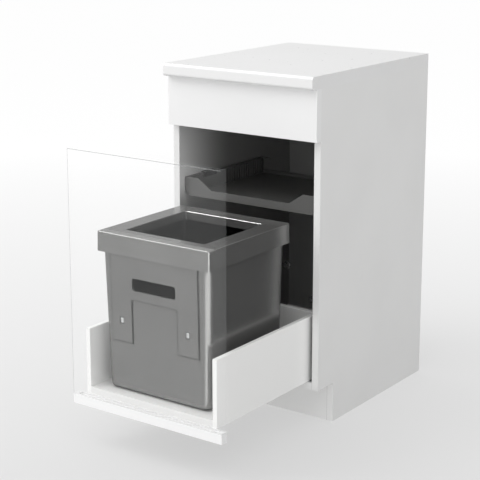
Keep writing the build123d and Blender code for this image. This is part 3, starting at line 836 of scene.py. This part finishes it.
@dataclass
class Bin:
    """Grey bin, its raised panel, clips, knobs and bag ring."""

    grey: Colour = (0.235, 0.235, 0.231)
    ring_grey: Colour = (0.265, 0.265, 0.26)
    rough: float = 0.24
    flake: float = 0.75
    taper_mm: float = 8.5
    wall_mm: float = 3.0
    corner_mm: float = 20.0
    line_mm: float = 1.1
    cutout_half_mm: float = 68.0
    cutout_mm: float = 110.0
    clip_half_mm: float = 6.0
    satin_reach_mm: float = 24.5
    satin_depth_mm: float = 3.0

    def build(self) -> None:
        """Dresses the bin."""
        # Painted shade darkens the inside of the bin, and painted shade lines darken the outlines of the
        # raised panel and of each clip.
        dress(self._plastic("bin_body_plastic", self.grey, shade=self._hollow, shade_by=0.08), ["bin_body"])
        dress(self._plastic("apron_plastic", self.grey, shade=self._apron_rim, shade_by=0.4), ["bin_apron"])
        dress(self._plastic("ring_plastic", self.ring_grey, satin=self._ring_outside), ["bag_ring"])
        clips = MouldedPlastic("clip_plastic", (0.60, 0.61, 0.61), 0.25,
                               shade=self._clip_rim, shade_by=0.22)
        dress(clips.material(), ["apron_clips"])
        dress(MouldedPlastic("black_knob", (0.012, 0.012, 0.012), 0.35).material(), ["bin_knobs"])

    def _plastic(self, name: str, grey: Colour, **special: Any) -> bpy.types.Material:
        """The bin's grey plastic, with what is special about one part.

        Args:
            name: The material's name.
            grey: Its colour.
            special: Fields of the finish that differ for this part.

        Returns:
            The material.
        """
        return MouldedPlastic(name, grey, self.rough, grain_mm=0.0006, scuffs=0.1, flake=self.flake,
                              patchy=0.25, **special).material()

    def _hollow(self, graph: Graph) -> Wire:
        """1 on the faces inside the tapered bin, where painted shade darkens the colour.

        Args:
            graph: The material's graph.

        Returns:
            The mask.
        """
        low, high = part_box("bin_body")
        middle = (low.y + high.y) / 2
        rise = (graph.axis("Z") - low.z) / (high.z - low.z)
        inset = (1.0 - rise) * (self.taper_mm * MM) + self.corner_mm * MM
        across = (graph.axis("X").size() - (high.x - inset)).most(0.0)
        along = ((graph.axis("Y") - middle).size() - ((high.y - low.y) / 2 - inset)).most(0.0)
        reach = (self.corner_mm - self.wall_mm / 2) * MM
        inside = (across * across + along * along) < reach * reach
        return inside * (graph.axis("Z") > (low.z + self.wall_mm * MM / 2))

    def _apron_rim(self, graph: Graph) -> Wire:
        """1 along the outline of the raised panel and its cut-out, where a painted shade line darkens the
        colour.

        Args:
            graph: The material's graph.

        Returns:
            The mask.
        """
        low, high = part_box("bin_apron")
        line = self.line_mm * MM
        half = self.cutout_half_mm * MM
        roof = low.z + self.cutout_mm * MM
        across = graph.axis("X").size()
        legs = (across - half).size() < (line * 1.5)
        below = graph.axis("Z") < (roof + line)
        arch = (graph.axis("Z") - roof).size() < line
        return (across > (high.x - line)).most(graph.axis("Z") < (low.z + line * 2.0)).most(
            legs * below).most(arch * (across < half))

    def _ring_outside(self, graph: Graph) -> Wire:
        """1 along the upper front edge of the bag ring, which is less polished.

        Args:
            graph: The material's graph.

        Returns:
            The mask.
        """
        low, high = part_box("bag_ring")
        front = graph.axis("Y") < (low.y + self.satin_reach_mm * MM)
        return front * (graph.axis("Z") > (high.z - self.satin_depth_mm * MM))

    def _clip_rim(self, graph: Graph) -> Wire:
        """1 along the outline of each clip, where a painted shade line darkens the colour.

        Args:
            graph: The material's graph.

        Returns:
            The mask.
        """
        low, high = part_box("apron_clips")
        middle = (low.z + high.z) / 2
        line = self.line_mm * MM
        across = (graph.axis("X").size() - (high.x - self.clip_half_mm * MM)).size()
        rim = across > (self.clip_half_mm * MM - line * 2.0)
        return rim.most((graph.axis("Z") - middle).size() > ((high.z - low.z) / 2 - line * 2.0))


@dataclass
class ShelfTray:
    """Dark shelf tray, its guides and clips, and the touch latch."""

    dark: MouldedPlastic = MouldedPlastic(
        "tray_plastic", (0.105, 0.105, 0.102), 0.38, grain_mm=0.004, patchy=0.4)
    black: MouldedPlastic = MouldedPlastic("black_plastic", (0.012, 0.012, 0.012), 0.4)
    wall_mm: float = 12.0
    rib_count: int = 16
    rib_pitch_mm: float = 11.0
    rib_from_rear_mm: float = 12.0
    rib_width_mm: float = 2.0
    rib_depth_mm: float = 2.2
    rib_foot_mm: float = 2.8
    rib_top_mm: float = 43.0
    rib_root_mm: float = 0.5
    rib_edge_mm: float = 0.4
    rib_edge_steps: int = 2

    def build(self) -> None:
        """Dresses the tray."""
        dark = self.dark.material()
        dress(dark, ["tray"])
        fittings = [*both("tray_clip"), *both("tray_guide"), "touch_latch", "latch_plunger"]
        dress(self.black.material(), fittings)
        self._ribs(dark)

    def _ribs(self, material: bpy.types.Material) -> None:
        """Upright stiffening ribs on the inner faces of the tray's side walls.

        Args:
            material: The tray's own finish.
        """
        low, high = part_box("tray")
        root = high.x - (self.wall_mm - self.rib_root_mm) * MM
        tip = high.x - (self.wall_mm + self.rib_depth_mm) * MM
        foot = low.z + self.rib_foot_mm * MM
        top = low.z + self.rib_top_mm * MM
        ribs = bmesh.new()
        for index in range(self.rib_count):
            rear = high.y - (self.rib_from_rear_mm + index * self.rib_pitch_mm) * MM
            front = rear - self.rib_width_mm * MM
            add_block(ribs, (-root, front, foot), (-tip, rear, top))
            add_block(ribs, (tip, front, foot), (root, rear, top))
        piece("tray_ribs", ribs, Body.TRAY, material,
              self.rib_edge_mm, self.rib_edge_steps)


# ------------------------------------------------------------------ studio
@dataclass(frozen=True)
class Softbox:
    """One rectangular studio light aimed at the object, or at its reflections only."""

    name: str
    place: tuple[float, float, float]
    aim: tuple[float, float, float]
    width: float
    height: float
    watts: float
    only_gloss: bool = False

    def build(self) -> None:
        """Adds the light."""
        lamp = bpy.data.lights.new(self.name, "AREA")
        lamp.shape = "RECTANGLE"
        lamp.size = self.width
        lamp.size_y = self.height
        lamp.energy = self.watts
        holder = bpy.data.objects.new(self.name, lamp)
        holder.location = self.place
        heading = Vector(self.aim) - Vector(self.place)
        holder.rotation_euler = heading.to_track_quat("-Z", "Y").to_euler()
        holder.visible_camera = False
        holder.visible_diffuse = not self.only_gloss
        bpy.context.scene.collection.objects.link(holder)


@dataclass(frozen=True)
class Lobe:
    """A broad patch of the surrounding light, from the cosine where it fades out to where it is full."""

    heading: tuple[float, float, float]
    fades: float
    full: float
    strength: float


@dataclass
class Studio:
    """Luminous floor, pale wall, surrounding light, softboxes and camera."""

    floor_centre: tuple[float, float, float] = (0.6, -1.1, 0.0)
    circle_steps: int = 96
    paper: float = 0.30
    paper_rough: float = 0.85
    paper_rough_spread: float = 0.1
    paper_patches: Noise = Noise(1.5)
    glow_starts: float = 0.85
    glow_ends: float = 4.8
    glow_near: float = 0.415
    glow_far: float = 0.665
    dim: float = 0.08
    floor_radius: float = 45.0
    wall_inset: float = 0.99
    wall_tone: float = 1.05
    lobes: tuple[Lobe, ...] = (
        Lobe((-0.60, -0.78, -0.10), 0.1, 0.9, 0.90),
        Lobe((-0.75, 0.60, 0.20), 0.3, 1.0, 0.45),
        Lobe((-0.10, -0.10, 1.00), 0.1, 0.9, 1.25),
        Lobe((0.86, -0.45, 0.20), 0.2, 0.9, 0.58),
        Lobe((0.72, -0.52, -0.46), 0.74, 0.95, 2.5),
    )
    softboxes: tuple[Softbox, ...] = (
        Softbox("key_softbox", (-1.9, -1.6, 3.2), (0.0, -0.2, 0.5), 1.8, 1.8, 30.0),
        Softbox("upper_strip", (-1.7, -0.85, 2.7), (0.0, -0.2, 0.5), 1.6, 0.5, 60.0, only_gloss=True),
        Softbox("edge_strip", (2.5, -2.1, 0.9), (0.0, -0.25, 0.45), 0.30, 1.8, 45.0, only_gloss=True),
    )
    lens_mm: float = 101.55
    sensor_mm: float = 36.0
    sees_to: float = 200.0
    camera_place: tuple[float, float, float] = (1.92797, -2.77169, 1.33403)
    yaw_deg: float = 35.66
    pitch_deg: float = 12.70
    shift_up: float = -0.1

    def build(self) -> None:
        """Adds everything around the object."""
        self._floor()
        self._backdrop()
        self._world()
        for softbox in self.softboxes:
            softbox.build()
        self._camera()
        bpy.context.scene.view_settings.view_transform = "Standard"

    def _floor(self) -> None:
        """A wide luminous floor that gets paler with distance, unseen by reflections."""
        mesh = bpy.data.meshes.new("studio_floor")
        shape = bmesh.new()
        bmesh.ops.create_circle(shape, cap_ends=True, segments=self.circle_steps, radius=self.floor_radius)
        shape.to_mesh(mesh)
        shape.free()
        graph = paint("backlit_table")
        offset = graph.node("ShaderNodeVectorMath", {"operation": "SUBTRACT"},
                            {0: graph.place(), 1: self.floor_centre})
        span = graph.node("ShaderNodeVectorMath", {"operation": "LENGTH"}, {0: offset}, "Value")
        rise = (span - self.glow_starts) / (self.glow_ends - self.glow_starts)
        tone = graph.mix(rise.most(0.0).least(1.0), (self.glow_near,) * 3, (self.glow_far,) * 3)
        rough = graph.around(self.paper_rough, self.paper_patches, self.paper_rough_spread)
        mesh.materials.append(graph.finish(graph.principled(
            Base_Color=(self.paper,) * 3, Roughness=rough, Specular_IOR_Level=0.0,
            Emission_Color=tone, Emission_Strength=1.0)))
        floor = bpy.data.objects.new("studio_floor", mesh)
        bpy.context.scene.collection.objects.link(floor)
        floor.visible_glossy = False

    def _backdrop(self) -> None:
        """A pale round wall at the floor's rim, which only the camera sees."""
        mesh = bpy.data.meshes.new("studio_backdrop")
        shape = bmesh.new()
        radius = self.floor_radius * self.wall_inset
        rim = bmesh.ops.create_circle(shape, segments=self.circle_steps, radius=radius)
        edges = list({edge for vert in rim["verts"] for edge in vert.link_edges})
        made = bmesh.ops.extrude_edge_only(shape, edges=edges)
        risen = [item for item in made["geom"] if isinstance(item, bmesh.types.BMVert)]
        bmesh.ops.translate(shape, vec=(0.0, 0.0, self.floor_radius), verts=risen)
        shape.to_mesh(mesh)
        shape.free()
        graph = paint("backlit_wall")
        mesh.materials.append(graph.finish(graph.add(
            "ShaderNodeEmission", {}, {"Color": (self.wall_tone,) * 3, "Strength": 1.0})))
        wall = bpy.data.objects.new("studio_backdrop", mesh)
        bpy.context.scene.collection.objects.link(wall)
        wall.visible_glossy = False
        wall.visible_diffuse = False
        wall.visible_transmission = False
        wall.visible_shadow = False

    def _world(self) -> None:
        """Surrounding light from the left, the front right and above, and for reflections from below."""
        graph = Graph(bpy.data.worlds.new("studio_surround"))
        strength: Any = self.dim
        for lobe in self.lobes:
            strength = strength + graph.towards(lobe.heading).ramp(lobe.fades, lobe.full) * lobe.strength
        lamp = graph.add("ShaderNodeBackground", {}, {"Strength": strength})
        world = graph.finish(lamp)
        world.cycles.sampling_method = "NONE"
        bpy.context.scene.world = world

    def _camera(self) -> None:
        """The camera, from the right and a little above."""
        lens = bpy.data.cameras.new("camera")
        lens.lens = self.lens_mm
        lens.sensor_width = self.sensor_mm
        lens.shift_y = self.shift_up
        lens.clip_end = self.sees_to
        holder = bpy.data.objects.new("camera", lens)
        holder.location = self.camera_place
        tilt = math.radians(90.0 - self.pitch_deg)
        holder.rotation_euler = (tilt, 0.0, math.radians(self.yaw_deg))
        bpy.context.scene.collection.objects.link(holder)
        bpy.context.scene.camera = holder


def main() -> None:
    """Builds the looks in order and reports each step."""
    logging.basicConfig(level=logging.INFO)
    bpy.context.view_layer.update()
    for part in (Carcass(), Runners(), Drawer(), Bin(), ShelfTray()):
        part.build()
        log.info("dressed %s", type(part).__name__)
    Studio().build()


if __name__ == "__main__":
    main()
